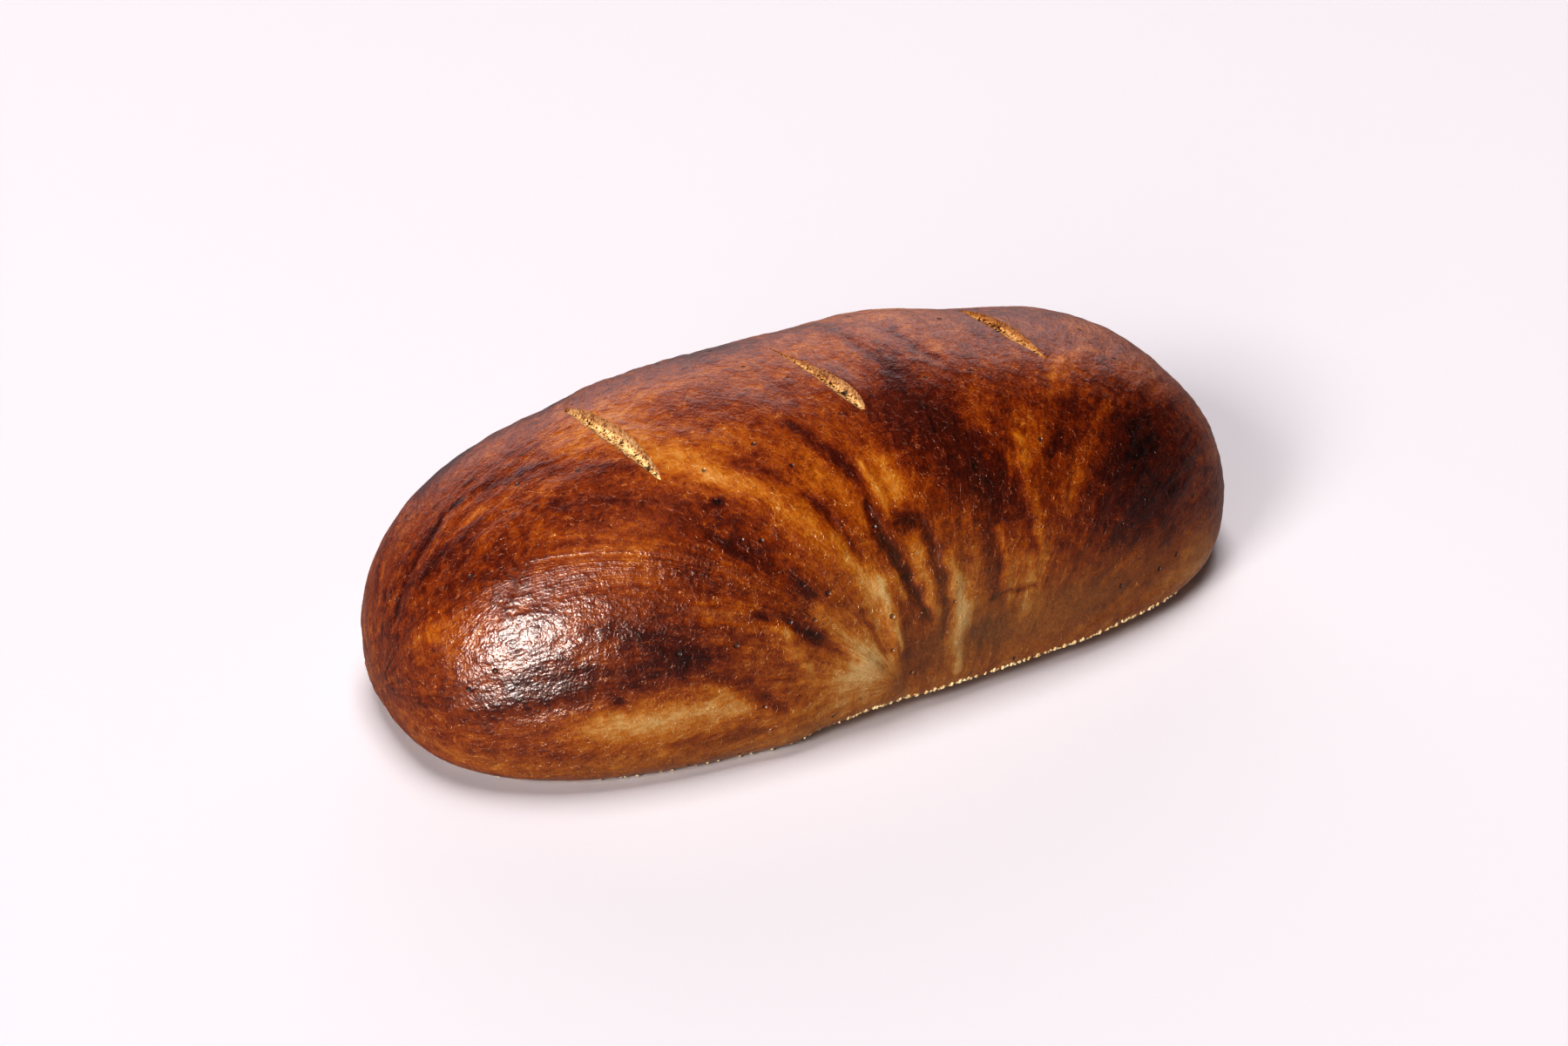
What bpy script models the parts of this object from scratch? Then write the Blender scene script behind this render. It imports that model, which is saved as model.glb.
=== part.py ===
"""An oval hearth loaf with three oblique slashes across its crown and a flat base.

The loaf lies along X with its shown side towards -Y and stands on the plane Z = 0.
The origin is at the middle of the base. Sizes are in metres and angles in degrees.
"""

import math
from collections import namedtuple

import bmesh
import bpy
from mathutils import Vector

# Driving sizes of the whole loaf
LENGTH = 0.300
WIDTH = 0.141
HEIGHT = 0.091
BELLY_HEIGHT = 0.017  # height of the widest girth above the table
BASE_SHARE = 0.92  # the flat base's outline, as a share of the belly's outline

# Exponents of the superellipses: 2 is an ellipse, more is squarer
PLAN_FULLNESS = 2.75
CROWN_FULLNESS = 2.45
TUCK_FULLNESS = 3.6

# Cells of the net laid over the loaf
CELLS_ALONG = 64
CELLS_ACROSS = 24
CELLS_DOWN = 17
SHOULDER_ANGLE = math.radians(50)  # where the net turns from the crown down the wall
BELLY_ROW = 12 / 17  # share of the wall's rows that lie above the belly
TUCK_SPACING = 0.6  # under 1 sets the rows closer together towards the rim of the base

# Surface distances around the loaf: this radius turns the lean of a point into millimetres of crust
GIRTH_RADIUS = 0.075

# Slashes cut with a blade held oblique to the loaf
SLASH_DEPTH = 0.0032
SLASH_NET_HALF_WIDTH = 0.0035  # columns of the net up to here are squeezed into the slash's outline
SLASH_NET_REACH = 0.010  # columns beyond here are left where they are
SLASH_NET_SNAP = 0.00025  # a corner of the net this close to a column stands in for it
SLASH_NET_OVERRUN = 0.12  # share of a slash's length by which its columns run past its ends
SLASH_NET_FADE = 0.15  # share of the length over which the squeeze fades beyond the ends
SLASH_NET_MARGIN = 1.5  # the columns cut faces up to this many reaches from the middle
SLASH_NARROWEST = 0.15  # the squeezed columns keep this share of their spacing at the slash's ends
SLASH_COLUMNS = (0.0008, 0.0024, 0.0035, 0.0048, 0.0065, 0.0100)  # on each side of the middle
SLASH_TAPER = 0.75  # under 1 keeps the slash wide for longer before it comes to a point
SLASH_FLOOR_FLATNESS = 0.6  # 0.5 is a round-bottomed cut, more is more pointed
LIP_RISE_BLADE_SIDE = 0.0004
LIP_RISE_TORN_SIDE = 0.0010
LIP_REACH = 0.0045
Slash = namedtuple("Slash", "along skew far_end near_end half_width widest")  # skew in degrees
SLASHES = (
    Slash(along=-0.0697, skew=7.6, far_end=0.028, near_end=-0.028, half_width=0.0028, widest=0.52),
    Slash(along=-0.0004, skew=12.0, far_end=0.027, near_end=-0.026, half_width=0.0027, widest=0.80),
    Slash(along=0.0750, skew=6.0, far_end=0.028, near_end=-0.0175, half_width=0.0027, widest=0.48),
)

# Broad swells and dents of a hand-moulded loaf, by distance along it and around it from the crown
Swell = namedtuple("Swell", "along around reach_along reach_around rise")
SWELLS = (
    Swell(along=0.036, around=-0.058, reach_along=0.024, reach_around=0.040, rise=0.0007),
    Swell(along=0.074, around=-0.048, reach_along=0.020, reach_around=0.045, rise=-0.0020),
    Swell(along=0.124, around=-0.015, reach_along=0.022, reach_around=0.030, rise=0.0012),
    Swell(along=-0.078, around=-0.044, reach_along=0.016, reach_around=0.036, rise=-0.0014),
    Swell(along=-0.112, around=0.045, reach_along=0.030, reach_around=0.035, rise=0.0008),
    Swell(along=-0.036, around=0.018, reach_along=0.022, reach_around=0.030, rise=0.0007),
    Swell(along=0.036, around=0.022, reach_along=0.022, reach_around=0.030, rise=0.0008),
    Swell(along=0.120, around=0.120, reach_along=0.022, reach_around=0.020, rise=0.0012),
    Swell(along=0.030, around=0.122, reach_along=0.034, reach_around=0.024, rise=-0.0020),
    Swell(along=-0.043, around=0.126, reach_along=0.010, reach_around=0.016, rise=0.0011),
    Swell(along=-0.010, around=0.138, reach_along=0.017, reach_around=0.014, rise=-0.0028),
    Swell(along=-0.055, around=-0.085, reach_along=0.040, reach_around=0.030, rise=0.0010),
    Swell(along=0.018, around=-0.112, reach_along=0.024, reach_around=0.022, rise=-0.0016),
)

# Folds that fan out over each wall from where the dough was pinched at the base
PINCH_ALONG = -0.006
PINCH_AROUND = 0.132
FAN_FOLDS = 15.0  # folds in a full turn
FAN_UNEVENNESS = 1.3  # how far the folds stray from even spacing, and how often
FAN_UNEVEN_TURNS = 2.7
FAN_SPREAD = 0.8  # under 1 lets the fan open past a half turn
FAN_RISE = 0.0008
FAN_START = 0.018
FAN_REACH = 0.050
CREASE_RISE = 0.0013
CREASE_SOFT_SIDE = 0.015
CREASE_SHARP_SIDE = 0.0028
CREASE_AROUND = 0.110  # where the crease is deepest, and how far up and down it runs
CREASE_REACH = 0.020
FAR_FAN_SHARE = 0.8  # the far wall's folds are the shown wall's turned end for end, and lower

# Puckers beside the middle slash, which follow its direction
PUCKER_SKEW = math.radians(12)
PUCKER_SPACING = 0.0105
PUCKER_RISE = 0.0005
PUCKER_ALONG = 0.034
PUCKER_AROUND = -0.022
PUCKER_REACH = 0.026

CRUST_COLOUR = (0.30, 0.085, 0.018, 1.0)
CRUST_ROUGHNESS = 0.36

# Worked out from the driving sizes
HALF_LENGTH = LENGTH / 2
HALF_WIDTH = WIDTH / 2
CROWN_RISE = HEIGHT - BELLY_HEIGHT
TUCK_DEPTH = BELLY_HEIGHT / (1 - BASE_SHARE**TUCK_FULLNESS) ** (1 / TUCK_FULLNESS)
SHOULDER_SHARE = math.sin(SHOULDER_ANGLE) ** (2 / CROWN_FULLNESS)
NET_EDGE = 1 - 1e-4  # a cube's corners and sides lie beyond this
TABLE_SLACK = 1e-6  # corners this close to the table belong to the base
EDGE_SLACK = 1e-5  # and those this close to a slash's edge belong to its lip


def bell(distance, reach):
    """A smooth bump that is 1 at no distance and fades beyond reach."""
    return math.exp(-((distance / reach) ** 2))


def plan_point(bearing, share):
    """The point in that direction on the plan outline, shrunk to that share."""
    c, s = math.cos(bearing), math.sin(bearing)
    scale = share / (abs(c) ** PLAN_FULLNESS + abs(s) ** PLAN_FULLNESS) ** (1 / PLAN_FULLNESS)
    return HALF_LENGTH * c * scale, HALF_WIDTH * s * scale


def crown_height(share):
    """Height of the crown over a plan outline of that share."""
    return BELLY_HEIGHT + CROWN_RISE * (1 - min(share, 1) ** CROWN_FULLNESS) ** (1 / CROWN_FULLNESS)


def plan_share(x, y):
    """The share of the plan outline that passes through x, y."""
    along = (abs(x) / HALF_LENGTH) ** PLAN_FULLNESS
    across = (abs(y) / HALF_WIDTH) ** PLAN_FULLNESS
    return (along + across) ** (1 / PLAN_FULLNESS)


def wall_level(down):
    """Share of the plan outline and height, from the shoulder (0) to the base's rim (1)."""
    if down < BELLY_ROW:
        angle = SHOULDER_ANGLE + (math.pi / 2 - SHOULDER_ANGLE) * down / BELLY_ROW
        share = math.sin(angle) ** (2 / CROWN_FULLNESS)
        return share, crown_height(share)
    step = (down - BELLY_ROW) / (1 - BELLY_ROW)
    height = BELLY_HEIGHT * (1 - step**TUCK_SPACING)
    tuck = (BELLY_HEIGHT - height) / TUCK_DEPTH
    return (1 - tuck**TUCK_FULLNESS) ** (1 / TUCK_FULLNESS), height


def on_skin(corner):
    """Moves a point of the net, drawn on a cube from -1 to 1, onto the smooth loaf."""
    u = corner.x * math.sqrt(1 - corner.y**2 / 2)
    v = corner.y * math.sqrt(1 - corner.x**2 / 2)
    bearing, radius = math.atan2(v, u), math.hypot(u, v)
    if corner.z > NET_EDGE:
        x, y = plan_point(bearing, SHOULDER_SHARE * radius)
        return Vector((x, y, crown_height(SHOULDER_SHARE * radius)))
    share, height = wall_level((1 - corner.z) / 2)
    x, y = plan_point(bearing, share * radius)
    return Vector((x, y, height))


def net_on_cube():
    """A cube whose faces are cut into the net's cells, with its underside left as one face."""
    bm = bmesh.new()
    bmesh.ops.create_cube(bm, size=2)
    for axis, cells in enumerate((CELLS_ALONG, CELLS_ACROSS, CELLS_DOWN)):
        edges = [e for e in bm.edges if abs((e.verts[0].co - e.verts[1].co).normalized()[axis]) > NET_EDGE]
        bmesh.ops.subdivide_edges(bm, edges=edges, cuts=cells - 1, use_grid_fill=True)
    underside = [f for f in bm.faces if all(v.co.z < -NET_EDGE for v in f.verts)]
    bmesh.ops.dissolve_faces(bm, faces=underside, use_verts=False)
    return bm


def slash_axes(slash):
    """The slash's middle, and its directions along and across the cut."""
    skew = math.radians(slash.skew)
    along = Vector((math.sin(skew), -math.cos(skew), 0))
    across = Vector((along.y, -along.x, 0)) * -1
    middle_y = (slash.far_end + slash.near_end) / 2
    start = Vector((slash.along, 0, 0))
    return start + along * (-middle_y / math.cos(skew)), along, across


def slash_place(slash, point):
    """Share of the way from the far end to the near end, and signed distance across the cut."""
    middle, along, across = slash_axes(slash)
    length = (slash.far_end - slash.near_end) / math.cos(math.radians(slash.skew))
    flat = Vector((point.x, point.y, 0)) - middle
    return flat.dot(along) / length + 0.5, flat.dot(across)


def slash_half_width(slash, share):
    """Half-width of the opened slash, which comes to a point at both ends."""
    if not 0 < share < 1:
        return 0.0
    skewed = share ** (math.log(0.5) / math.log(slash.widest))
    return slash.half_width * math.sin(math.pi * skewed) ** SLASH_TAPER


def squeeze_columns(offset, half_width):
    """Slides a column of the net so that the column at the net's half-width follows the slash's edge."""
    size = abs(offset)
    narrow = max(half_width, SLASH_NARROWEST * SLASH_NET_HALF_WIDTH)
    if size <= SLASH_NET_HALF_WIDTH:
        moved = size * narrow / SLASH_NET_HALF_WIDTH
    else:
        outer = (size - SLASH_NET_HALF_WIDTH) / (SLASH_NET_REACH - SLASH_NET_HALF_WIDTH)
        moved = narrow + min(outer, 1) * (SLASH_NET_REACH - narrow)
    return math.copysign(moved, offset)


def near_slash(slash, face):
    """Whether a face lies in the strip of crown that the slash's columns cut."""
    centre = face.calc_center_median()
    share, offset = slash_place(slash, centre)
    beside = abs(offset) < SLASH_NET_MARGIN * SLASH_NET_REACH
    return beside and -SLASH_NET_OVERRUN < share < 1 + SLASH_NET_OVERRUN and centre.z > HEIGHT / 2


def lay_columns(bm, slash):
    """Cuts edges along the slash into the crown and squeezes them to the slash's outline."""
    middle, _, across = slash_axes(slash)
    for offset in [-c for c in reversed(SLASH_COLUMNS)] + list(SLASH_COLUMNS):
        faces = [f for f in bm.faces if near_slash(slash, f)]
        edges = list({e for f in faces for e in f.edges})
        verts = list({v for f in faces for v in f.verts})
        bmesh.ops.bisect_plane(
            bm,
            geom=verts + edges + faces,
            dist=SLASH_NET_SNAP,
            plane_co=middle + across * offset,
            plane_no=across,
        )
    for vert in bm.verts:
        share, offset = slash_place(slash, vert.co)
        fade = min(1, 1 + share / SLASH_NET_FADE, 1 + (1 - share) / SLASH_NET_FADE)
        if vert.co.z < HEIGHT / 2 or fade <= 0 or abs(offset) > SLASH_NET_REACH:
            continue
        slid = squeeze_columns(offset, slash_half_width(slash, share))
        vert.co += across * (slid - offset) * fade
        vert.co.z = crown_height(plan_share(vert.co.x, vert.co.y))


def slash_relief(point):
    """Depth of the slashes below the skin and height of the crust's lips beside them."""
    rise = 0.0
    for slash in SLASHES:
        share, offset = slash_place(slash, point)
        half_width = slash_half_width(slash, share)
        if half_width == 0 or point.z < HEIGHT / 2:
            continue
        opening = half_width / slash.half_width
        beyond = abs(offset) - half_width
        if beyond < -EDGE_SLACK:
            rise -= SLASH_DEPTH * opening * (1 - (offset / half_width) ** 2) ** SLASH_FLOOR_FLATNESS
            continue
        lip = LIP_RISE_TORN_SIDE if offset > 0 else LIP_RISE_BLADE_SIDE
        rise += lip * opening * bell(beyond, LIP_REACH)
    return rise


def fan_relief(along, around):
    """Folds that spread from the pinch at the base of a wall, and the crease beside it."""
    to_side, up = along - PINCH_ALONG, PINCH_AROUND - around
    radius, bearing = math.hypot(to_side, up), math.atan2(to_side, up)
    window = (1 - bell(radius, FAN_START)) * bell(radius, FAN_REACH)
    window *= max(0, math.cos(bearing * FAN_SPREAD))
    folds = math.cos(FAN_FOLDS * bearing + FAN_UNEVENNESS * math.sin(FAN_UNEVEN_TURNS * bearing))
    soft = CREASE_SOFT_SIDE if to_side < 0 else CREASE_SHARP_SIDE
    crease = CREASE_RISE * bell(to_side, soft) * bell(around - CREASE_AROUND, CREASE_REACH)
    return FAN_RISE * folds * window + crease


def pucker_relief(along, around):
    """Puckers beside the middle slash."""
    window = bell(along - PUCKER_ALONG, PUCKER_REACH) * bell(around - PUCKER_AROUND, PUCKER_REACH)
    across = along + around * math.sin(PUCKER_SKEW)
    return PUCKER_RISE * math.sin(2 * math.pi * across / PUCKER_SPACING) * window


def crust_relief(point):
    """How far the crust stands out from the smooth skin at a point of that skin."""
    along = point.x
    around = GIRTH_RADIUS * math.atan2(-point.y, point.z - BELLY_HEIGHT)
    swells = sum(
        s.rise * bell(along - s.along, s.reach_along) * bell(around - s.around, s.reach_around)
        for s in SWELLS
    )
    fans = fan_relief(along, around) + FAR_FAN_SHARE * fan_relief(-along, -around)
    return swells + fans + pucker_relief(along, around) + slash_relief(point)


def raise_crust(bm):
    """Moves the skin out and in by its relief, and keeps the base flat on the table."""
    bm.normal_update()
    moves = []
    for vert in bm.verts:
        outward = vert.normal.copy()
        if vert.co.z < TABLE_SLACK:
            outward.z = 0
            outward.normalize()
        moves.append((vert, outward * crust_relief(vert.co)))
    for vert, move in moves:
        vert.co += move


def centre_on_origin(bm):
    """Puts the middle of the loaf's box over the origin."""
    for axis in (0, 1):
        places = [v.co[axis] for v in bm.verts]
        middle = (max(places) + min(places)) / 2
        for vert in bm.verts:
            vert.co[axis] -= middle


def crust_material():
    """Glazed, well-baked crust."""
    material = bpy.data.materials.new("crust")
    material.use_nodes = True
    shader = material.node_tree.nodes["Principled BSDF"]
    shader.inputs["Base Color"].default_value = CRUST_COLOUR
    shader.inputs["Roughness"].default_value = CRUST_ROUGHNESS
    shader.inputs["Metallic"].default_value = 0.0
    return material


def make_loaf(collection):
    """The whole loaf, one solid piece of bread."""
    bm = net_on_cube()
    for vert in bm.verts:
        vert.co = on_skin(vert.co)
    for slash in SLASHES:
        lay_columns(bm, slash)
    bmesh.ops.recalc_face_normals(bm, faces=bm.faces)
    raise_crust(bm)
    centre_on_origin(bm)
    mesh = bpy.data.meshes.new("loaf")
    bm.to_mesh(mesh)
    bm.free()
    mesh.shade_smooth()
    mesh.set_sharp_from_angle(angle=math.radians(50))
    mesh.materials.append(crust_material())
    loaf = bpy.data.objects.new("loaf", mesh)
    collection.objects.link(loaf)
    return loaf


def main():
    for old in list(bpy.data.objects):
        bpy.data.objects.remove(old)
    collection = bpy.data.collections.new("hearth loaf")
    bpy.context.scene.collection.children.link(collection)
    make_loaf(collection)


main()
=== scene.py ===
import math
import random

import bmesh
import bpy
import numpy as np
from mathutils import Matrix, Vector, noise


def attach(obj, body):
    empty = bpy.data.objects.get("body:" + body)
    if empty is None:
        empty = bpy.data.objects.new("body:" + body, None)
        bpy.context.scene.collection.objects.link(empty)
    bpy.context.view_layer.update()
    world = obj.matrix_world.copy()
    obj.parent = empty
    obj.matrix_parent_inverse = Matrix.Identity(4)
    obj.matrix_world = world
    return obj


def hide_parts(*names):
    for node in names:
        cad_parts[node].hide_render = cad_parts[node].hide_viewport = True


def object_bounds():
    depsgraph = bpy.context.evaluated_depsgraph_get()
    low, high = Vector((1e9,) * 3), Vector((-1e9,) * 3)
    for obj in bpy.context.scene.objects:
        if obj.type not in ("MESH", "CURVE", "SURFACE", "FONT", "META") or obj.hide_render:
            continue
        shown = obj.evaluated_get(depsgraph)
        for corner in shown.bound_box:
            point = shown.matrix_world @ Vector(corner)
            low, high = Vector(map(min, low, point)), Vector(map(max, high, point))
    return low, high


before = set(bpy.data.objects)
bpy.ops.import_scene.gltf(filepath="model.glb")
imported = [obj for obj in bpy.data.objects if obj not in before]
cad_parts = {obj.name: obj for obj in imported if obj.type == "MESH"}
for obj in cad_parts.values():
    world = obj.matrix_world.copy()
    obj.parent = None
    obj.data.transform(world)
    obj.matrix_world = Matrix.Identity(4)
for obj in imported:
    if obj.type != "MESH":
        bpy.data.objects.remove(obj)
cad_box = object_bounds()
low, high = cad_box
half_length, half_width, height = high.x, high.y, high.z

# Camera
# It stands to the left of the loaf's front and looks down on it, as in the photograph.
camera_turn = math.radians(27.80)
camera_height_angle = math.radians(32.30)
camera_distance = 0.8811
camera_aim = Vector((-0.0124, -0.0057, 0.040))
camera_lens = 62.64
camera_sensor = 36

away_from_aim = Vector(
    (
        -math.sin(camera_turn) * math.cos(camera_height_angle),
        -math.cos(camera_turn) * math.cos(camera_height_angle),
        math.sin(camera_height_angle),
    )
)
camera_data = bpy.data.cameras.new("camera")
camera_data.lens = camera_lens
camera_data.sensor_width = camera_sensor
camera = bpy.data.objects.new("camera", camera_data)
camera.location = camera_aim + away_from_aim * camera_distance
camera.rotation_mode = "QUATERNION"
camera.rotation_quaternion = (-away_from_aim).to_track_quat("-Z", "Y")
bpy.context.scene.collection.objects.link(camera)
bpy.context.scene.camera = camera


# Crust
# The whole loaf: one piece of bread, whose thin, well-baked skin was brushed to a gloss. The dough was
# rolled and pinched at the middle of the shown side, so its skin lies in folds that fan out from there.
belly_height = 0.017
girth_radius = 0.075
pinch_along = -0.005
pinch_around = 0.121
fold_curl = math.radians(0.17) * 1000
fold_curl_start = 0.5
seam_lift = 0.100
seam_reach = 0.050
roll_end_bearing = 0.587
roll_end_reach = 0.134
roll_end_softness = 0.06
crown_split = (-0.045, -0.008)
merge_distance = 0.00002
quad_flatness = math.radians(40)
quad_squareness = math.radians(60)
skin_levels = 2


def select_only(piece):
    bpy.ops.object.select_all(action="DESELECT")
    piece.select_set(True)
    bpy.context.view_layer.objects.active = piece


crust = bpy.data.objects.new("crust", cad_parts["loaf"].data.copy())
bpy.context.scene.collection.objects.link(crust)
select_only(crust)
bpy.ops.object.mode_set(mode="EDIT")
bpy.ops.mesh.select_all(action="SELECT")
bpy.ops.mesh.remove_doubles(threshold=merge_distance)
bpy.ops.mesh.tris_convert_to_quads(face_threshold=quad_flatness, shape_threshold=quad_squareness)
bpy.ops.object.mode_set(mode="OBJECT")

# The slashes: lens-shaped cuts that opened in the oven and show the crumb
slash_names = ("left", "middle", "right")
slash_along = (-0.0697, -0.0004, 0.0750)
slash_skew = [math.radians(turn) for turn in (7.6, 12.0, 6.0)]
slash_far_end = (0.0280, 0.0270, 0.0280)
slash_near_end = (-0.0280, -0.0260, -0.0175)
slash_half_width = (0.0028, 0.0027, 0.0027)
slash_widest = (0.52, 0.80, 0.48)
slash_browned_far = (0.15, 0.85, 0.75)
slash_browned_near = (0.0, 0.1, 0.65)
slash_bluntness = 0.68
# The hole in each slash: share of its length from the far end, distance aside and radius
slash_holes = ((0.87, 0.0002, 0.0011), (0.80, 0.0012, 0.0013), (0.55, -0.0012, 0.0006))
slash_down = [Vector((math.sin(turn), -math.cos(turn), 0)) for turn in slash_skew]
slash_side = [Vector((math.cos(turn), math.sin(turn), 0)) for turn in slash_skew]


def slash_middle(i):
    middle_y = (slash_far_end[i] + slash_near_end[i]) / 2
    return Vector((slash_along[i], 0, 0)) - slash_down[i] * (middle_y / math.cos(slash_skew[i]))


def slash_length(i):
    return (slash_far_end[i] - slash_near_end[i]) / math.cos(slash_skew[i])


def slash_opening(i, share):
    """Half-width of a slash at a share of its length from the far end. It is nothing at both ends."""
    if not 0 < share < 1:
        return 0.0
    skewed = share ** (math.log(0.5) / math.log(slash_widest[i]))
    return slash_half_width[i] * math.sin(math.pi * skewed) ** slash_bluntness


def slash_place(i, point):
    """A point's share of the slash's length from the far end, and its distance aside to the right."""
    flat = Vector((point.x, point.y, 0)) - slash_middle(i)
    return flat.dot(slash_down[i]) / slash_length(i) + 0.5, flat.dot(slash_side[i])


# The groove is filled first, so that the cut can be made afresh with crisp edges and a porous floor
groove_margin = 0.0002
groove_passes = 60
groove_pull = 0.7
mesh = bmesh.new()
mesh.from_mesh(crust.data)
for i in range(len(slash_names)):
    inside = []
    for vert in mesh.verts:
        share, offset = slash_place(i, vert.co)
        if vert.co.z > height / 2 and abs(offset) < slash_opening(i, share) - groove_margin:
            inside.append(vert)
    for _ in range(groove_passes):
        bmesh.ops.smooth_vert(
            mesh, verts=inside, factor=groove_pull, use_axis_x=False, use_axis_y=False, use_axis_z=True
        )
mesh.to_mesh(crust.data)
mesh.free()

select_only(crust)
smooth = crust.modifiers.new("smooth", "SUBSURF")
smooth.levels = smooth.render_levels = skin_levels
bpy.ops.object.modifier_apply(modifier="smooth")


def surface_coordinates(places):
    """Distance along the loaf and distance around it from the crown, positive towards the shown side."""
    around = girth_radius * np.arctan2(-places[:, 1], places[:, 2] - belly_height)
    return places[:, 0], around


def fold_lines(along, around):
    """Which fold a point lies on, and how far along that fold it lies.

    The folds leave the pinch as a fan. Those on the left curl over, and turn back at the end of the roll.
    """
    left = pinch_along - along
    up = pinch_around - around
    reach = np.hypot(left, up)
    lifted = up + np.where(left < 0, seam_lift * np.exp(-((left / seam_reach) ** 2)), 0)
    bearing = np.arctan2(left, lifted)
    bearing -= fold_curl * reach * np.tanh(np.maximum(bearing, 0) / fold_curl_start)
    aside = bearing - roll_end_bearing
    beyond = np.maximum(0, reach / roll_end_reach - 1)
    before = np.tanh(aside / roll_end_softness) * (math.pi / 2 + 1 - reach / roll_end_reach)
    turned = np.arctan2(aside, beyond)
    return np.hypot(aside, beyond), np.where(beyond > 0, turned, before)


def soft_step(values, start, end):
    """0 before start and 1 after end, with a smooth step from one to the other."""
    share = np.clip((values - start) / (end - start), 0, 1)
    return share * share * (3 - 2 * share)


def mesh_arrays(piece):
    """The places and the normals of a piece's vertices."""
    count = len(piece.data.vertices)
    places, normals = np.empty(count * 3), np.empty(count * 3)
    piece.data.vertices.foreach_get("co", places)
    piece.data.vertices.foreach_get("normal", normals)
    return places.reshape(-1, 3), normals.reshape(-1, 3)


# Bake, with some painted shade and light in it: how dark each part of the crust is, and where it is olive
# rather than orange
# Each patch is a pale or dark area of the crust. It has its distance along and its distance around, its
# reach along its own line and across it, its lean in degrees, and how much darker it is.
# Distances are in millimetres.
bake_level = 0.592
patches = (
    (-128, 40, 26, 40, 0, 0.07),
    (10, -14, 150, 22, 0, 0.06),
    (-8, -14, 50, 15, 0, -0.17),
    (12, 88, 24, 18, 0, -0.10),
    # Partly painted light: this patch lightens the foot all along against the shade near the floor, and
    # partly gives the foot its own paler crust
    (0, 128, 170, 13, 0, -0.17),
    (-72, -6, 16, 13, 0, -0.20),
    (-60, 20, 15, 8, 75, -0.24),
    (-17, 50, 9, 5, 60, -0.15),
    (1, 52, 11, 5, 85, -0.26),
    (-38, 24, 13, 7, 0, -0.12),
    (-138, 48, 11, 7, 80, -0.18),
    (-78, 55, 16, 8, 30, -0.08),
    (-92, 108, 36, 10, 5, -0.28),
    (-62, 101, 12, 9, 0, -0.20),
    (-21, 111, 14, 11, 0, -0.40),
    (-15, 98, 6, 16, 0, -0.24),
    (17, 107, 6, 16, 0, -0.30),
    (45, 98, 9, 9, 0, -0.14),
    (118, 119, 14, 13, 0, -0.24),
    # Painted sheen: this patch lightens the top of the right end in place of the sheen from the glow
    # behind
    (112, -12, 14, 12, 0, -0.14),
    (-126, 8, 13, 6, 0, 0.18),
    (-92, 90, 26, 7, 8, 0.12),
    (-126, 94, 18, 12, 0, 0.16),
    (-68, 62, 10, 14, 0, 0.18),
    (-51, 82, 8, 7, 0, 0.12),
    (21, 36, 13, 26, 0, 0.27),
    (36, 62, 12, 13, 0, 0.26),
    (52, 20, 12, 14, 0, 0.12),
    (29, 88, 5, 9, 0, 0.28),
    (2, 65, 5, 3, 0, 0.34),
    (1, 113, 6, 12, 0, 0.20),
    (27, 112, 8, 9, 0, 0.20),
    (98, 56, 27, 16, -15, 0.32),
    (95, 82, 24, 15, 0, 0.28),
    (-97, 98, 2.0, 1.8, 0, 0.45),
    (-53, 44, 1.6, 1.4, 0, 0.40),
)
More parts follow.
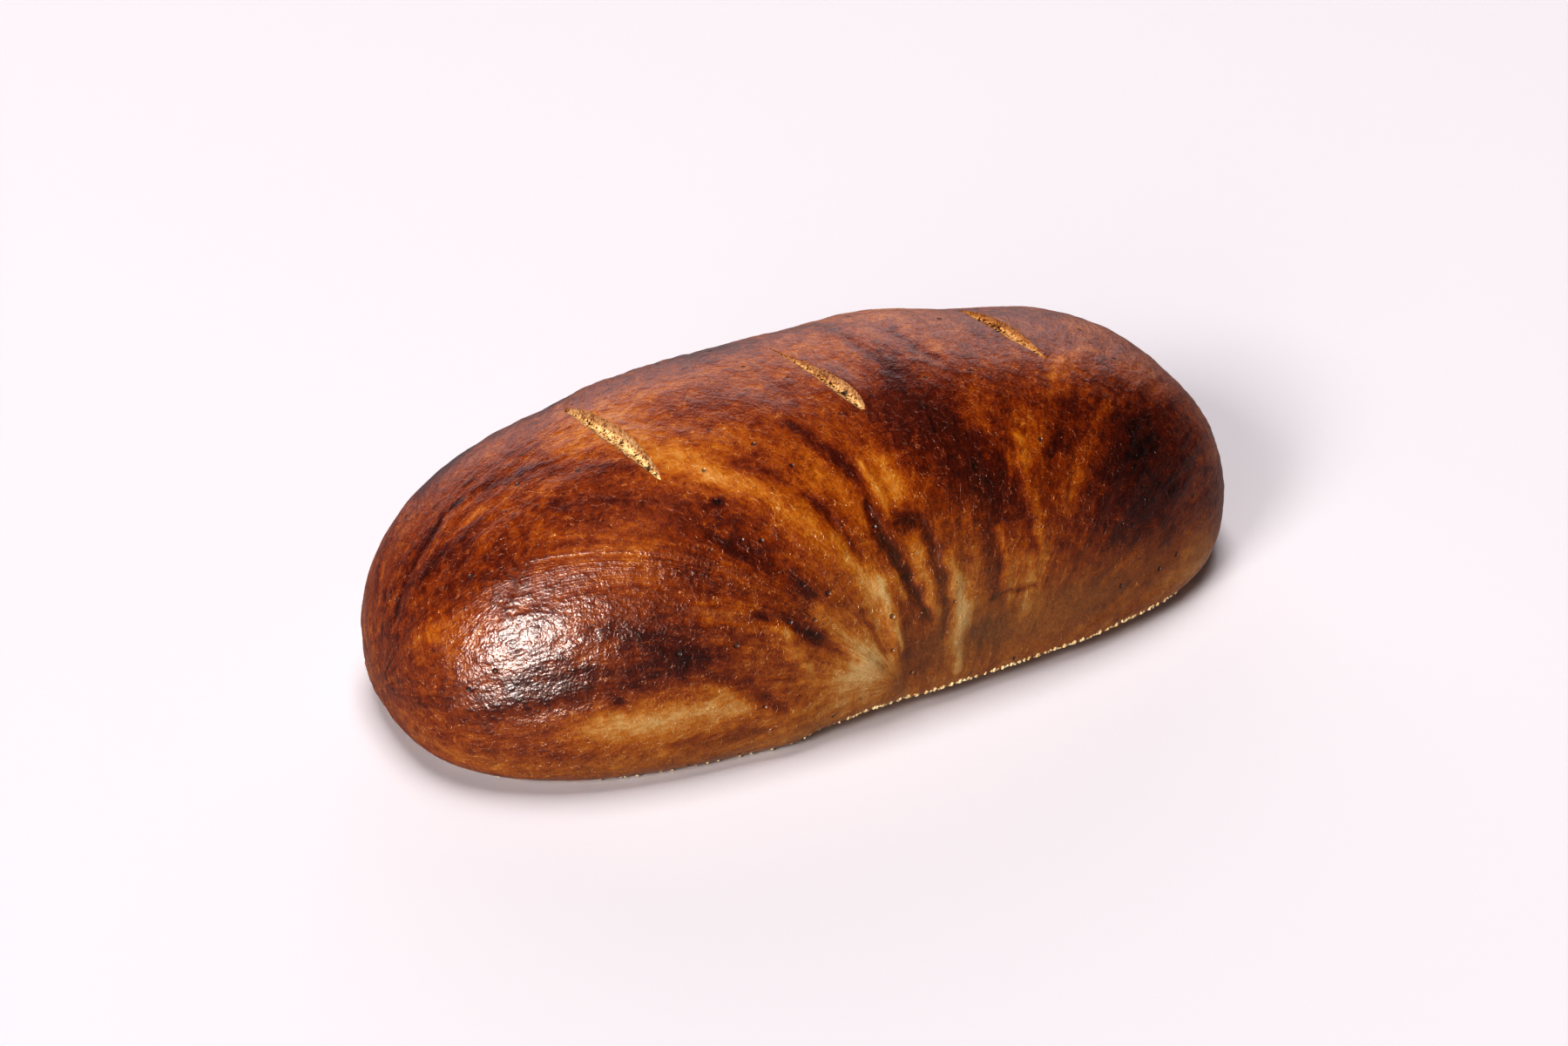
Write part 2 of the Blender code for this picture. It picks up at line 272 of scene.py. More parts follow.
# Each streak has three points of its curve, as distances along and around, its half-width, how much
# darker it is and how far it stands out, in millimetres. The dark ones mostly lie in sunken creases, and
# their darkness is partly the crust's own colour and partly painted shade in the creases.
streaks = (
    ((-146, 10), (-133, -10), (-118, -13), 2.2, 0.18, -0.3),
    ((-118, -13), (-100, -8), (-72, 22), 2.6, 0.12, 0.0),
    ((-100, 20), (-75, 28), (-48, 60), 7.0, 0.12, 0.0),
    ((-98, 72), (-78, 82), (-58, 101), 6.0, 0.17, -0.2),
    ((-68, 98), (-56, 104), (-46, 115), 3.4, 0.24, -0.4),
    ((-60, 55), (-46, 65), (-32, 82), 3.4, 0.20, -0.3),
    ((-50, 81), (-38, 88), (-22, 105), 2.6, 0.28, -0.5),
    ((-28, 50), (-19, 62), (-13, 76), 2.2, 0.24, -0.4),
    ((-21, 24), (-16, 36), (-9, 48), 3.0, 0.20, -0.2),
    ((-10, 58), (-6, 74), (5, 98), 2.5, 0.34, -0.6),
    ((-18, 88), (-14, 98), (-11, 107), 1.6, 0.28, -0.3),
    ((7, 68), (13, 84), (11, 106), 2.6, 0.26, -0.4),
    ((58, 58), (67, 46), (78, 38), 3.0, 0.16, -0.1),
    ((26, 101), (36, 95), (46, 99), 1.1, 0.34, -0.4),
    ((-126, 84), (-114, 86), (-104, 84), 2.4, 0.14, -0.1),
    ((-82, 121), (-66, 121), (-50, 124), 2.2, 0.12, -0.3),
    ((-6, -28), (-16, -5), (-14, 16), 3.0, 0.10, -0.3),
    ((22, -30), (20, -5), (24, 14), 3.0, 0.14, -0.4),
    ((36, -30), (34, -5), (38, 12), 3.0, 0.12, -0.4),
    ((-52, 34), (-28, 56), (-13, 84), 6.0, -0.22, 0.4),
    ((-14, 74), (-8, 90), (-5, 106), 1.7, -0.32, 0.5),
    ((-31, 84), (-25, 96), (-20, 108), 4.6, -0.28, 0.3),
    ((-47, 84), (-41, 94), (-37, 106), 3.4, -0.26, 0.3),
    ((-69, 74), (-56, 79), (-44, 87), 4.0, -0.16, 0.2),
    ((-108, 109), (-86, 108), (-60, 112), 4.4, -0.14, 0.2),
    ((3, 74), (6, 86), (8, 97), 4.2, -0.22, 0.3),
    ((15, 80), (17, 100), (17, 123), 3.2, -0.36, 0.4),
    ((-6, 79), (-5, 84), (-4, 89), 1.4, -0.30, 0.2),
    ((-6, 44), (-5, 54), (-3, 64), 1.4, -0.24, 0.2),
    ((23, 80), (25, 92), (26, 102), 4.0, -0.18, 0.1),
    ((33, 76), (36, 88), (34, 104), 2.6, -0.20, 0.3),
    ((41, 84), (42, 98), (42, 108), 5.0, -0.16, 0.1),
    ((49, 50), (45, 66), (49, 90), 2.6, -0.22, 0.3),
    ((38, 66), (41, 60), (43, 54), 1.4, -0.18, 0.1),
    ((60, 76), (74, 58), (91, 43), 3.6, -0.14, 0.1),
    ((74, 29), (84, 17), (100, 14), 4.0, -0.20, 0.1),
    ((42, 14), (43, 6), (45, -2), 2.6, -0.12, 0.0),
    ((-125, 4), (-108, -1), (-92, 12), 4.0, -0.10, 0.1),
)
olive_patches = (
    (44, 113, 62, 15, 0, 0.9),
    (17, 92, 14, 20, 0, 0.5),
    (-60, 129, 90, 8, 0, 0.6),
    (-16, 84, 14, 18, 50, 0.3),
)


streak_steps = 24
streak_end_width = 0.35
streak_end_share = 0.08
wide_wander = (95, 1.9)
close_wander = (270, 1.0)
mm_in_metre = 1000
# Without a set seed, vector noise takes one from the clock and differs from run to run
wander_seed = 5
noise.seed_set(wander_seed)


def patch_field(spots, along_mm, around_mm):
    """The sum of the patches at each point, each fading out evenly around its middle."""
    field = np.zeros(len(along_mm))
    for x, y, reach_along, reach_across, lean, strength in spots:
        c, s = math.cos(math.radians(lean)), math.sin(math.radians(lean))
        dx, dy = along_mm - x, around_mm - y
        forward, sideways = dx * c + dy * s, dy * c - dx * s
        field += strength * np.exp(-((forward / reach_along) ** 2) - (sideways / reach_across) ** 2)
    return field


def streak_fields(along_mm, around_mm):
    """How much the streaks darken each point, partly as painted shade in creases, and how far they raise
    it, in millimetres.
    """
    dark, raised = np.zeros(len(along_mm)), np.zeros(len(along_mm))
    for start, bend, end, half_width, strength, rise in streaks:
        nearest = np.full(len(along_mm), np.inf)
        for step in range(streak_steps + 1):
            t = step / streak_steps
            x = (1 - t) ** 2 * start[0] + 2 * t * (1 - t) * bend[0] + t * t * end[0]
            y = (1 - t) ** 2 * start[1] + 2 * t * (1 - t) * bend[1] + t * t * end[1]
            inner = min(max(t, streak_end_share), 1 - streak_end_share)
            taper = streak_end_width + (1 - streak_end_width) * math.sqrt(math.sin(math.pi * inner))
            away = np.hypot(along_mm - x, around_mm - y)
            nearest = np.minimum(nearest, away / (half_width * taper))
        near = np.exp(-(nearest**2))
        dark += strength * near
        raised += rise * near
    return dark, raised


def streak_places(points):
    """Distances along and around in millimetres, shifted a little, so that edges are uneven."""
    along, around = surface_coordinates(points)
    shifts = np.zeros((len(points), 3))
    for k in range(len(points)):
        point = Vector(points[k])
        wide = noise.noise_vector(point * wide_wander[0]) * wide_wander[1]
        shifts[k] = wide + noise.noise_vector(point * close_wander[0]) * close_wander[1]
    return along * mm_in_metre + shifts[:, 0], around * mm_in_metre + shifts[:, 1]


def add_attribute(piece, name, kind, values):
    attribute = piece.data.attributes.new(name, kind, "POINT")
    part = "value" if kind == "FLOAT" else "vector"
    attribute.data.foreach_set(part, values.astype(np.float32).ravel())


def unit_rows(rows):
    """The rows, each brought to length 1."""
    nearly_nothing = 1e-9
    return rows / (np.linalg.norm(rows, axis=1)[:, None] + nearly_nothing)


def flow_directions(along, around, skin_normals):
    """The direction in space in which the folds run at each point of the skin."""
    step = 0.0005
    slope_along = fold_lines(along + step, around)[0] - fold_lines(along - step, around)[0]
    slope_around = fold_lines(along, around + step)[0] - fold_lines(along, around - step)[0]
    lengthwise = unit_rows(np.array([1.0, 0, 0]) - skin_normals * skin_normals[:, :1])
    downward = np.cross(lengthwise, skin_normals)
    return unit_rows(downward * slope_along[:, None] - lengthwise * slope_around[:, None])


crumb_margin = 0.0008
least_opening = 0.0004


def crumb_attributes(piece):
    """Where each point of a cut lies across it, -1 to 1, how browned it is, and where it has a hole."""
    spots, _ = mesh_arrays(piece)
    across, browned, holes = np.zeros((3, len(spots)))
    for k in np.flatnonzero(spots[:, 2] > height / 2):
        for i in range(len(slash_names)):
            share, offset = slash_place(i, Vector(spots[k]))
            opening = slash_opening(i, share)
            if abs(offset) < opening + crumb_margin:
                across[k] = offset / max(opening, least_opening)
                far, near = slash_browned_far[i], slash_browned_near[i]
                browned[k] = far + (near - far) * share
                hole_share, hole_offset, hole_radius = slash_holes[i]
                aside = math.hypot((share - hole_share) * slash_length(i), offset - hole_offset)
                holes[k] = math.exp(-((aside / hole_radius) ** 2))
    add_attribute(piece, "holes", "FLOAT", holes)
    add_attribute(piece, "across_cut", "FLOAT", np.clip(across, -1, 1))
    add_attribute(piece, "browned", "FLOAT", browned)


# The grain of the skin is drawn from another part of the noise behind
back_grain = 7


def crust_attributes(piece):
    """The bake, the olive tint and the run of the folds, kept on the mesh for the materials to read."""
    spots, skin_normals = mesh_arrays(piece)
    x, v = surface_coordinates(spots)
    side = soft_step(v, *crown_split)
    x_mm, v_mm = streak_places(spots)
    bake = side * (patch_field(patches, x_mm, v_mm) + streak_fields(x_mm, v_mm)[0])
    bake += (1 - side) * (patch_field(patches, -x_mm, -v_mm) + streak_fields(-x_mm, -v_mm)[0])
    olive = side * patch_field(olive_patches, x_mm, v_mm)
    olive += (1 - side) * patch_field(olive_patches, -x_mm, -v_mm)
    line, way = fold_lines(x, v)
    back_line, back_way = fold_lines(-x, -v)
    flow = flow_directions(x, v, skin_normals) * side[:, None]
    turned_about = np.array([-1.0, -1.0, 1.0])
    back_flow = flow_directions(-x, -v, skin_normals * turned_about) * turned_about
    flow += back_flow * (1 - side)[:, None]
    add_attribute(piece, "bake", "FLOAT", bake_level + bake)
    add_attribute(piece, "olive", "FLOAT", np.clip(olive, 0, 1))
    add_attribute(piece, "shown_side", "FLOAT", side)
    shown_folds = np.stack([line, way, 0 * line], 1)
    far_folds = np.stack([back_line, back_way, 0 * line + back_grain], 1)
    add_attribute(piece, "folds", "FLOAT_VECTOR", shown_folds)
    add_attribute(piece, "back_folds", "FLOAT_VECTOR", far_folds)
    add_attribute(piece, "flow", "FLOAT_VECTOR", flow)


# Relief of the skin: long wrinkles that follow the folds, and the unevenness of the dough under it
places, normals = mesh_arrays(crust)
along, around = surface_coordinates(places)
shown = soft_step(around, *crown_split)
near_line, near_way = fold_lines(along, around)
far_line, far_way = fold_lines(-along, -around)
# A wrinkle's size is how close it is to the next across the folds and along them, and its height
wrinkle_sizes = ((17, 4, 0.00034), (36, 7, 0.00022), (75, 12, 0.00010))
dough_bumps = ((45, 0.00035), (130, 0.00016))
shown_wrinkles = 3.0
back_wrinkles = 9.0
foot_heights = (0.0002, 0.006)
relief = np.zeros(len(places))
for k in range(len(places)):
    point = Vector(places[k])
    rise = 0.0
    for closeness, size in dough_bumps:
        rise += size * noise.noise(point * closeness)
    for across, lengthwise, size in wrinkle_sizes:
        if shown[k] > 0:
            at = Vector((near_line[k] * across, near_way[k] * lengthwise, shown_wrinkles))
            rise += shown[k] * size * noise.noise(at)
        if shown[k] < 1:
            at = Vector((far_line[k] * across, far_way[k] * lengthwise, back_wrinkles))
            rise += (1 - shown[k]) * size * noise.noise(at)
    relief[k] = rise
along_mm, around_mm = streak_places(places)
raised = shown * streak_fields(along_mm, around_mm)[1]
raised += (1 - shown) * streak_fields(-along_mm, -around_mm)[1]
relief += raised / mm_in_metre
standing = soft_step(places[:, 2], *foot_heights)
places += normals * (relief * standing)[:, None]

# The base is drawn in under the rim, so that the rim stands off the floor. On the shown side that is from
# left of the pinch almost to the right end, and behind it is the same, turned about.
rim_rise = 0.0045
rim_inset = 0.0130
rim_rise_starts = (-0.042, -0.014)
rim_rise_ends = (0.095, 0.130)


def rim_lift(x, y):
    """How far along its rise the rim is at a point, from 0 where it lies on the floor to 1."""
    along_front = np.where(y < 0, x, -x)
    return soft_step(along_front, *rim_rise_starts) * (1 - soft_step(along_front, *rim_rise_ends))


inset = rim_inset * rim_lift(places[:, 0], places[:, 1]) * (1 - np.clip(places[:, 2] / rim_rise, 0, 1))
places[:, 0] *= 1 - inset / half_length
places[:, 1] *= 1 - inset / half_width
margin = 0.0001
places[:, 0] = np.clip(places[:, 0], low.x + margin, high.x - margin)
places[:, 1] = np.clip(places[:, 1], low.y + margin, high.y - margin)
places[:, 2] = np.clip(places[:, 2], 0.0, high.z - margin)
crust.data.vertices.foreach_set("co", places.ravel())
crust.data.update()

# Crust's finish
# The skin browned in the oven and was brushed to a gloss. Its colour runs from pale tan through gold and
# red-brown to near black as it bakes darker. Streaks follow the folds, and the dark ones lie in creases
# and are partly painted shade. Pits are where bubbles burst, painted dark as the shade inside them, and
# pale hairlines are painted glints.

# A wire is one output of a material's nodes. Arithmetic on it adds Math nodes,
# and node() adds any other node.
class Wire:
    def __init__(self, tree, socket=None):
        self.tree = tree
        self.socket = socket

    def node(self, kind, settings=None, sockets=None, out=0):
        made = self.tree.nodes.new(kind)
        for name, value in (settings or {}).items():
            if name == "stops":
                stops = made.color_ramp.elements
                stops.remove(stops[1])
                stops[0].position, stops[0].color = value[0][0], (*value[0][1], 1.0)
                for place, colour in value[1:]:
                    stops.new(place).color = (*colour, 1.0)
            else:
                setattr(made, name, value)
        for name, value in (sockets or {}).items():
            if isinstance(value, Wire):
                self.tree.links.new(value.socket, made.inputs[name])
            else:
                made.inputs[name].default_value = value
        return Wire(self.tree, made.outputs[out])

    def math(self, operation, *values):
        return self.node("ShaderNodeMath", {"operation": operation}, dict(enumerate(values)))

    def __add__(self, other):
        return self.math("ADD", self, other)

    def __radd__(self, other):
        return self.math("ADD", other, self)

    def __sub__(self, other):
        return self.math("SUBTRACT", self, other)

    def __rsub__(self, other):
        return self.math("SUBTRACT", other, self)

    def __mul__(self, other):
        return self.math("MULTIPLY", self, other)

    def __rmul__(self, other):
        return self.math("MULTIPLY", other, self)

    def between(self, start, end):
        """0 below start and 1 above end, with a smooth step from one to the other."""
        sockets = {"Value": self, "From Min": start, "From Max": end}
        return self.node("ShaderNodeMapRange", {"interpolation_type": "SMOOTHSTEP"}, sockets)

    def stretched(self, along_x, along_y, along_z):
        return self.node(
            "ShaderNodeVectorMath", {"operation": "MULTIPLY"}, {0: self, 1: (along_x, along_y, along_z)}
        )

    def speckle(self, scale, detail=2.0, roughness=0.5):
        """Noise between 0 and 1 over a vector wire."""
        sockets = {"Vector": self, "Scale": scale, "Detail": detail, "Roughness": roughness}
        return self.node("ShaderNodeTexNoise", None, sockets)

    def tinted(self, colour, share, blend="MIX"):
        """This colour wire mixed with another colour by a share."""
        settings = {"data_type": "RGBA", "blend_type": blend}
        return self.node("ShaderNodeMix", settings, {0: share, 6: self, 7: (*colour, 1.0)}, out=2)


def new_material(name):
    """A material, its Principled BSDF and a wire to start from."""
    material = bpy.data.materials.new(name)
    material.use_nodes = True
    return material, material.node_tree.nodes["Principled BSDF"], Wire(material.node_tree)


def finish_material(start, shader, feeds, constants):
    for name, wire in feeds.items():
        start.tree.links.new(wire.socket, shader.inputs[name])
    for name, value in constants.items():
        shader.inputs[name].default_value = value


def linear(red, green, blue):
    """A colour given as the eye reads it on a screen, 0 to 255, as the light values that shaders use."""
    shares = [c / 255 for c in (red, green, blue)]
    return tuple(c / 12.92 if c <= 0.04045 else ((c + 0.055) / 1.055) ** 2.4 for c in shares)


crust_material, crust_shader, start = new_material("crust")


def attribute(start, name, out):
    """What the mesh says under a name: its second output is a vector, its third a number."""
    return start.node("ShaderNodeAttribute", {"attribute_name": name}, out=out)


here = start.node("ShaderNodeTexCoord", out=3)
height_here = start.node("ShaderNodeSeparateXYZ", sockets={0: here}, out=2)
side = attribute(start, "shown_side", 2)
folds = attribute(start, "folds", 1)
back_folds = attribute(start, "back_folds", 1)


def swing(wire, amount):
    """Noise as a swing of an amount about nothing, half of it to either side."""
    return (wire - 0.5) * amount


def fold_noise(across, along, detail, roughness):
    """Noise drawn out along the folds of each side, joined over the crown."""
    front = folds.stretched(across, along, 1).speckle(1.0, detail, roughness)
    back = back_folds.stretched(across, along, 1).speckle(1.0, detail, roughness)
    return back + (front - back) * side


def flow_noise(scale, step, detail):
    """Even noise, smeared a few steps along the flow of the skin, so that it is as wide everywhere."""
    roughness = 0.55
    smears = (-2, -1, 0, 1, 2)
    total = 0.0
    for smear in smears:
        shift = flow.stretched(smear * step, smear * step, smear * step)
        place = here.node("ShaderNodeVectorMath", {"operation": "ADD"}, {0: here, 1: shift})
        total = place.speckle(scale, detail, roughness) + total
    return total * (1 / len(smears))


flow = attribute(start, "flow", 1)
broad_streaks = fold_noise(across=11, along=5.5, detail=4, roughness=0.62)
thin_streaks = fold_noise(across=40, along=14, detail=3, roughness=0.6)
smeared = flow_noise(scale=420, step=0.0009, detail=1)
wrinkles = flow_noise(scale=850, step=0.0004, detail=0)
blotches = here.speckle(scale=38, detail=3, roughness=0.55)
lumps = here.speckle(scale=260, detail=2, roughness=0.55)
grain = here.speckle(scale=1300, detail=2, roughness=0.6)
veins = here.speckle(scale=300, detail=1, roughness=0.5)
bake = attribute(start, "bake", 2)
bake = bake + swing(broad_streaks, 0.44) + swing(blotches, 0.32) + swing(thin_streaks, 0.16)
bake = bake + swing(smeared, 0.26) + swing(wrinkles, 0.20) + swing(lumps, 0.40) + swing(grain, 0.40)

# Crackle: fine raised hairlines in the gloss, broken up by the grain. Their paleness is a painted glint,
# the light caught on their edges.
crackle_edge = (0.958, 0.994)
crackle_gaps = (0.44, 0.56)
painted_glint_paleness = 0.28
ridged = 1 - start.math("ABSOLUTE", veins - 0.5) * 2
crackle_with_painted_glints = ridged.between(*crackle_edge) * grain.between(*crackle_gaps)
# Painted glints: the hairlines make the crust paler
bake = bake - crackle_with_painted_glints * painted_glint_paleness
colour = bake.node(
    "ShaderNodeValToRGB",
    {
        "stops": (
            (0.00, linear(216, 178, 118)),
            (0.16, linear(204, 149, 78)),
            (0.32, linear(186, 113, 26)),
            (0.46, linear(160, 81, 9)),
            (0.60, linear(128, 51, 5)),
            (0.76, linear(84, 23, 4)),
            (1.00, linear(30, 7, 4)),
        )
    },
    {0: bake},
)
olive_colour = linear(150, 110, 60)
olive_share = 0.50
olive = attribute(start, "olive", 2)
colour = colour.tinted(olive_colour, olive * olive_share)

# Pits: small burst bubbles, in nearly half of the cells that the noise draws. They are painted dark, as
# the shade that falls inside them.
pit_shade_colour = linear(30, 10, 8)
pit_edge = (0.05, 0.13)
pit_draw = (0.52, 0.56)
cell_sockets = {"Vector": here, "Scale": 120.0}
cells = start.node("ShaderNodeTexVoronoi", {"voronoi_dimensions": "3D"}, cell_sockets)
cell_draw = start.node("ShaderNodeTexVoronoi", {"voronoi_dimensions": "3D"}, cell_sockets, out=1)
cell_share = start.node("ShaderNodeSeparateColor", sockets={0: cell_draw})
pits = (1 - cells.between(*pit_edge)) * cell_share.between(*pit_draw)
# Painted shade: the pits are made dark
colour = colour.tinted(pit_shade_colour, pits * 0.75)

# The foot of the crust is floury, where it stood on the peel
flour_colour = linear(190, 150, 96)
flour_heights = (0.0003, 0.0016)
floury = 1 - height_here.between(*flour_heights)
colour = colour.tinted(flour_colour, floury * 0.6)

# Fine relief of the skin, in metres
pit_depth = 0.0006
crackle_height = 0.00010
skin = swing(wrinkles, 0.00025) + swing(smeared, 0.00024) + swing(lumps, 0.00044)
skin = skin + swing(grain, 0.00019) + crackle_with_painted_glints * crackle_height
skin = skin + swing(broad_streaks, 0.0003) - pits * pit_depth
bumps = start.node("ShaderNodeBump", sockets={"Height": skin, "Strength": 1.0, "Distance": 1.0})
skin_roughness = 0.29
gloss = skin_roughness + swing(blotches, 0.14) + pits * 0.3 + floury * 0.4 + swing(grain, 0.12)
finish_material(
    start,
    crust_shader,
    {"Base Color": colour, "Roughness": gloss, "Normal": bumps},
    {"IOR": 1.5, "Specular IOR Level": 0.30},
)

# Crumb
# Bread that the slashes laid open in the oven: pale, dry and full of fine pores, painted dark as the
# shade inside them. It is the floor of each cut, browned a little towards the right edge, and painted
# dark in the few holes as the shade inside them.
crumb_material, crumb_shader, start = new_material("crumb")
here = start.node("ShaderNodeTexCoord", out=3)
pores = here.speckle(scale=1250, detail=1, roughness=0.6)
pore_share = 0.65
unevenness = here.speckle(scale=260, detail=2, roughness=0.5)
tone_and_pore_shade = unevenness * (1 - pore_share) + pores * pore_share
# The dark end of this ramp is painted shade in the pores
colour = tone_and_pore_shade.node(
    "ShaderNodeValToRGB",
    {
        "stops": (
            (0.40, linear(52, 26, 10)),
            (0.455, linear(176, 124, 68)),
            (0.51, linear(232, 190, 126)),
            (0.62, linear(252, 224, 172)),
        )
    },
    {0: tone_and_pore_shade},
)
across_cut = attribute(start, "across_cut", 2)
browned = attribute(start, "browned", 2)
holes = attribute(start, "holes", 2)
browned_colour = linear(198, 148, 84)
right_edge_colour = linear(160, 96, 32)
left_edge_colour = linear(60, 26, 10)
painted_hole_shade = linear(40, 18, 8)
colour = colour.tinted(browned_colour, browned * 0.9, "MULTIPLY")
colour = colour.tinted(right_edge_colour, across_cut.between(0.62, 0.9) * 0.6)
colour = colour.tinted(left_edge_colour, (across_cut * -1).between(0.86, 0.98) * 0.7)
# Painted shade: a dark spot where each hole is
colour = colour.tinted(painted_hole_shade, holes.between(0.3, 0.7) * 0.9)
pore_relief = 0.0006
bump_sockets = {"Height": pores * pore_relief, "Strength": 1.0, "Distance": 1.0}
bumps = start.node("ShaderNodeBump", sockets=bump_sockets)
finish_material(
    start, crumb_shader, {"Base Color": colour, "Normal": bumps}, {"Roughness": 0.85, "IOR": 1.35}
)

crust.data.materials.clear()
crust.data.materials.append(crust_material)
crust.data.materials.append(crumb_material)


def skin_height(x, y):
    """How high the skin lies over a point of the floor, found by looking straight down from above."""
    hit, place, _, _ = crust.ray_cast(Vector((x, y, 2 * height)), Vector((0, 0, -1)))
    return place.z if hit else height


# One cutter for each slash: a spindle with a porous underside, deep on its right and shallow on its left
cut_depth = 0.0021
cut_spare_width = 0.0003
cut_reach_above = 0.003
cut_thin_opening = 0.001
cut_floor_roundness = 0.7
cut_floor_middle = 0.62
cut_floor_lean = 0.38
cut_run_out = 0.8
pore_depth = 0.00055
pore_steepness = 3
fine_pores = (900, 0.5)
coarse_pores = (420, 0.6)
near_pole = 1e-6
for i, name in enumerate(slash_names):
    bpy.ops.object.select_all(action="DESELECT")
    bpy.ops.mesh.primitive_uv_sphere_add(segments=60, ring_count=120, radius=1.0)
    cutter = bpy.context.object
    cutter.name = "cutter_" + name
    for vert in cutter.data.vertices:
        share = (vert.co.z + 1) / 2
        ring = math.hypot(vert.co.x, vert.co.y)
        across, up = (vert.co.x / ring, vert.co.y / ring) if ring > near_pole else (0, 0)
        opening = slash_opening(i, share)
        openness = min(1, opening / cut_thin_opening)
        offset = (opening + cut_spare_width * openness) * across
        spot = slash_middle(i) + slash_down[i] * ((share - 0.5) * slash_length(i))
        spot += slash_side[i] * offset
        top = skin_height(spot.x, spot.y)
        if up > 0:
            level = top + cut_reach_above * up * openness
        else:
            floor_share = abs(up) ** cut_floor_roundness * (cut_floor_middle + cut_floor_lean * across)
            pore = noise.noise(spot * fine_pores[0]) * fine_pores[1]
            pore += noise.noise(spot * coarse_pores[0]) * coarse_pores[1]
            rough = pore_depth * pore * min(1, abs(up) * pore_steepness)
            run_out = (opening / slash_half_width[i]) ** cut_run_out
            level = top - (cut_depth * floor_share + rough) * run_out
        vert.co = Vector((spot.x, spot.y, level))
    cutter.data.materials.append(crumb_material)
    select_only(crust)
    cut = crust.modifiers.new("cut", "BOOLEAN")
    cut.object = cutter
    cut.operation = "DIFFERENCE"
    cut.solver = "MANIFOLD"
    cut.material_mode = "TRANSFER"
    bpy.ops.object.modifier_apply(modifier="cut")
    bpy.data.objects.remove(cutter)

crust.data.validate()
crust_attributes(crust)
crumb_attributes(crust)
select_only(crust)
sharp_edge_angle = math.radians(50)
bpy.ops.object.shade_smooth_by_angle(angle=sharp_edge_angle)
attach(crust, "root")
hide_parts("loaf")

# Meal
# Coarse meal from the baker's peel: loose yellow grains under a millimetre across. They stuck to the damp
# dough along the rim of the base and baked on.
meal_material, meal_shader, start = new_material("meal")
here = start.node("ShaderNodeTexCoord", out=3)
shade = here.speckle(scale=400, detail=2, roughness=0.6)
# Both shades are paler than the meal itself, as painted light for grains that sit in shade under the
# belly
meal_shades_with_painted_light = ((0.35, linear(214, 176, 104)), (0.65, linear(255, 240, 190)))
colour = shade.node("ShaderNodeValToRGB", {"stops": meal_shades_with_painted_light}, {0: shade})
finish_material(start, meal_shader, {"Base Color": colour}, {"Roughness": 0.7})

on_floor = 1e-6
base_middle = 0.5
draw = random.Random(5)
rim = [v.co.copy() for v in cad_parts["loaf"].data.vertices if v.co.z < on_floor]
rim = [p for p in rim if math.hypot(p.x / half_length, p.y / half_width) > base_middle]
rim.sort(key=lambda p: math.atan2(p.y / half_width, p.x / half_length))
grain_count = 4200
grain_radius = (0.0003, 0.00065)
grain_band = 0.0012
grain_crowding = 3
grain_clearance = 1.2
grain_unevenness = (0.75, 1.15)
grain_search = 0.02
stray_share = 0.04
ball = bmesh.new()
bmesh.ops.create_icosphere(ball, subdivisions=1, radius=1)
ball_points = [vert.co.copy() for vert in ball.verts]
ball_faces = [[vert.index for vert in face.verts] for face in ball.faces]
ball.free()
grain_points, grain_faces = [], []
for _ in range(grain_count):
    k = draw.randrange(len(rim))
    a, b = rim[k], rim[(k + 1) % len(rim)]
    spot = a.lerp(b, draw.random())
    radius = draw.uniform(*grain_radius)
    lift = float(rim_lift(spot.x, spot.y))
    spot.z = grain_clearance * radius + rim_rise * lift + grain_band * draw.random() ** grain_crowding
    outward = Vector((spot.x / half_length**2, spot.y / half_width**2, 0)).normalized()
    hit, place, _, _ = crust.ray_cast(spot + outward * grain_search, -outward)
    if not hit or draw.random() > stray_share + lift:
        continue
    first = len(grain_points)
    grain_points += [place + point * (radius * draw.uniform(*grain_unevenness)) for point in ball_points]
    grain_faces += [[first + corner for corner in face] for face in ball_faces]
grain_mesh = bpy.data.meshes.new("meal_grains")
grain_mesh.from_pydata(grain_points, [], grain_faces)
meal = bpy.data.objects.new("meal_grains", grain_mesh)
meal.data.materials.append(meal_material)
bpy.context.scene.collection.objects.link(meal)
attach(meal, "root")

# Stage
# A wide, pale, seamless floor under soft studio light. None of it is part of the loaf.
floor_size = 12
floor_gap = 0.0002
bpy.ops.object.select_all(action="DESELECT")
bpy.ops.mesh.primitive_plane_add(size=floor_size, location=(0, 0, -floor_gap))
floor = bpy.context.object
floor.name = "floor"
floor.visible_glossy = False
floor_material, floor_shader, start = new_material("floor")
floor_colour = linear(217, 213, 217)
finish_material(start, floor_shader, {}, {"Base Color": (*floor_colour, 1), "Roughness": 0.9})
floor.data.materials.append(floor_material)

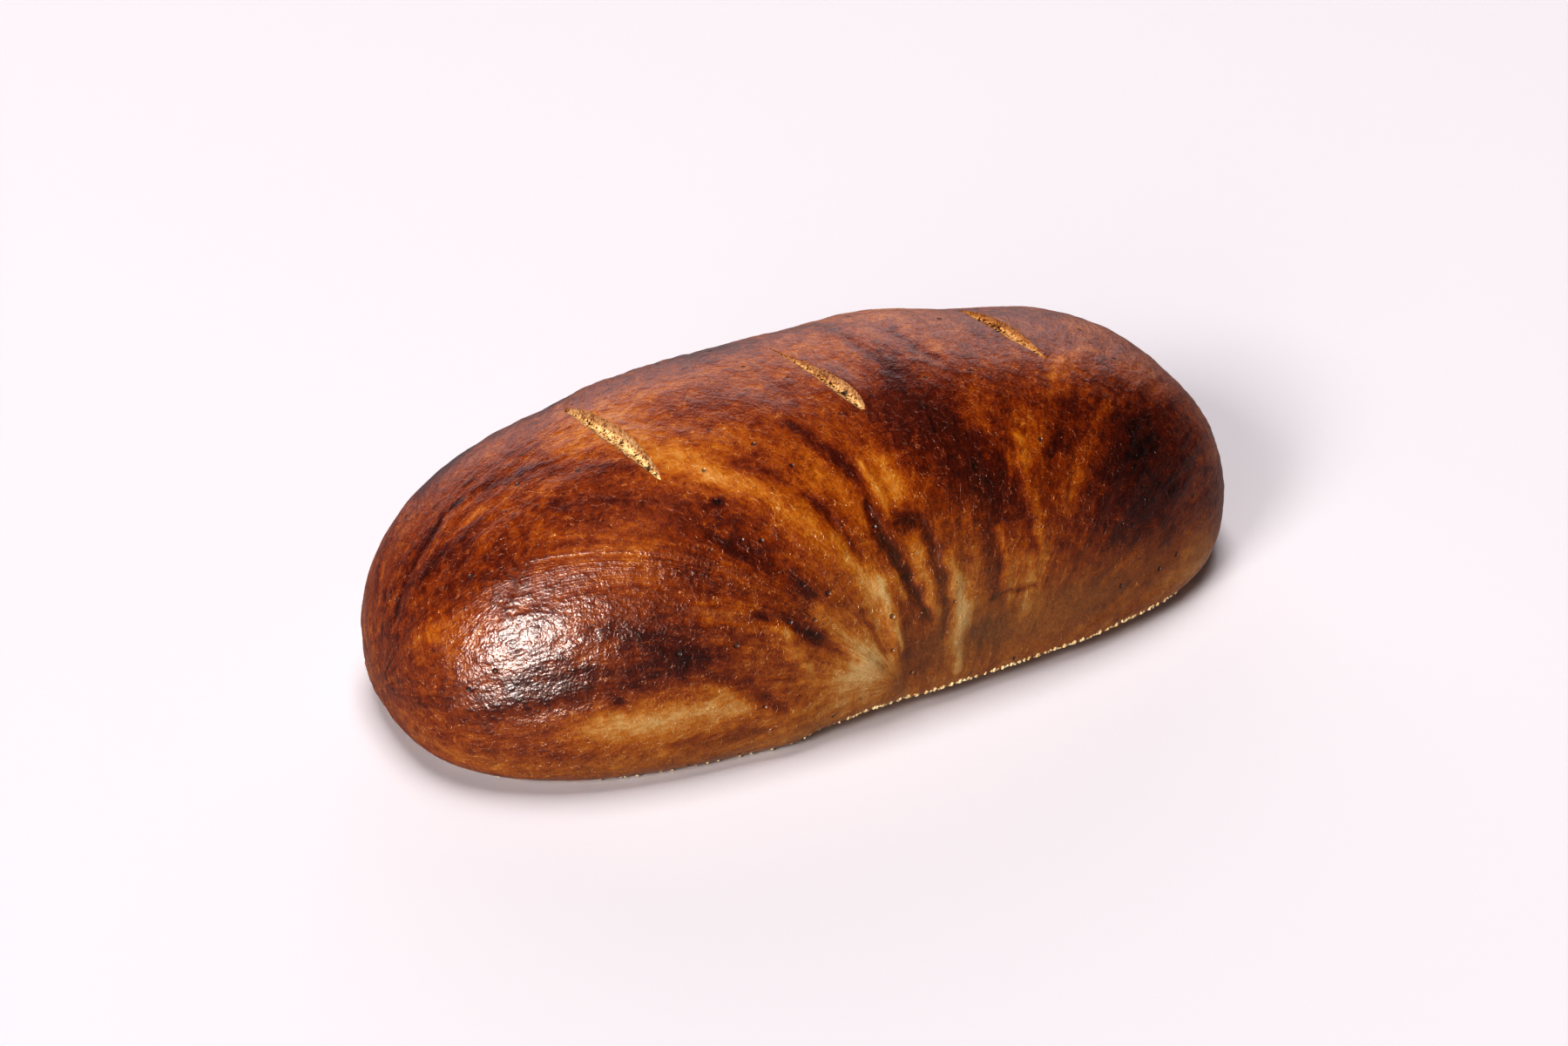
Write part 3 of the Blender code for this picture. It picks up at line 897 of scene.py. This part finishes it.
# The room: dim, with a bright card low behind the loaf and a faint glow from below the horizon
room_colour = linear(250, 242, 246)
room_glow = 0.03
card_direction = (0.32, 0.947, 0.0)
card_edge = (0.66, 0.96)
card_glow = 2.2
horizon = (-0.03, 0.03)
below_glow = 0.32
world = bpy.data.worlds.new("studio")
world.use_nodes = True
start = Wire(world.node_tree)
direction = start.node("ShaderNodeTexCoord")
towards_card = {0: direction, 1: card_direction}
card = start.node("ShaderNodeVectorMath", {"operation": "DOT_PRODUCT"}, towards_card, out=1)
above = start.node("ShaderNodeSeparateXYZ", sockets={0: direction}, out=2).between(*horizon)
glow = room_glow + card.between(*card_edge) * above * card_glow + (1 - above) * below_glow
background = world.node_tree.nodes["Background"]
background.inputs[0].default_value = (*room_colour, 1)
world.node_tree.links.new(glow.socket, background.inputs[1])
bpy.context.scene.world = world

light_distance = 9.0
soft_white = (1.0, 0.985, 0.98)
warm_white = (1.0, 0.93, 0.87)


def softbox(name, turn, rise, size, power, colour, gives):
    """A square light that faces the loaf, and gives either the glint on the crust or all the rest.

    It is turned to the right of the loaf's front and raised over the floor, both in degrees.
    """
    turn, rise = math.radians(turn), math.radians(rise)
    level = math.cos(rise)
    direction = Vector((math.sin(turn) * level, -math.cos(turn) * level, math.sin(rise)))
    data = bpy.data.lights.new(name, "AREA")
    data.size = size
    data.energy = power
    data.color = colour
    lamp = bpy.data.objects.new(name, data)
    lamp.visible_glossy = gives == "glint"
    lamp.visible_diffuse = gives == "light"
    lamp.location = camera_aim + direction * light_distance
    lamp.rotation_mode = "QUATERNION"
    lamp.rotation_quaternion = (-direction).to_track_quat("-Z", "Y")
    bpy.context.scene.collection.objects.link(lamp)


softbox("key", turn=-66, rise=32, size=2.6, power=620, colour=soft_white, gives="light")
softbox("fill", turn=168, rise=85, size=4.4, power=760, colour=soft_white, gives="light")
softbox("key_glint", turn=-50, rise=19, size=3.5, power=5600, colour=warm_white, gives="glint")

bpy.context.scene.view_settings.view_transform = "Standard"
bpy.context.scene.view_settings.gamma = 0.8
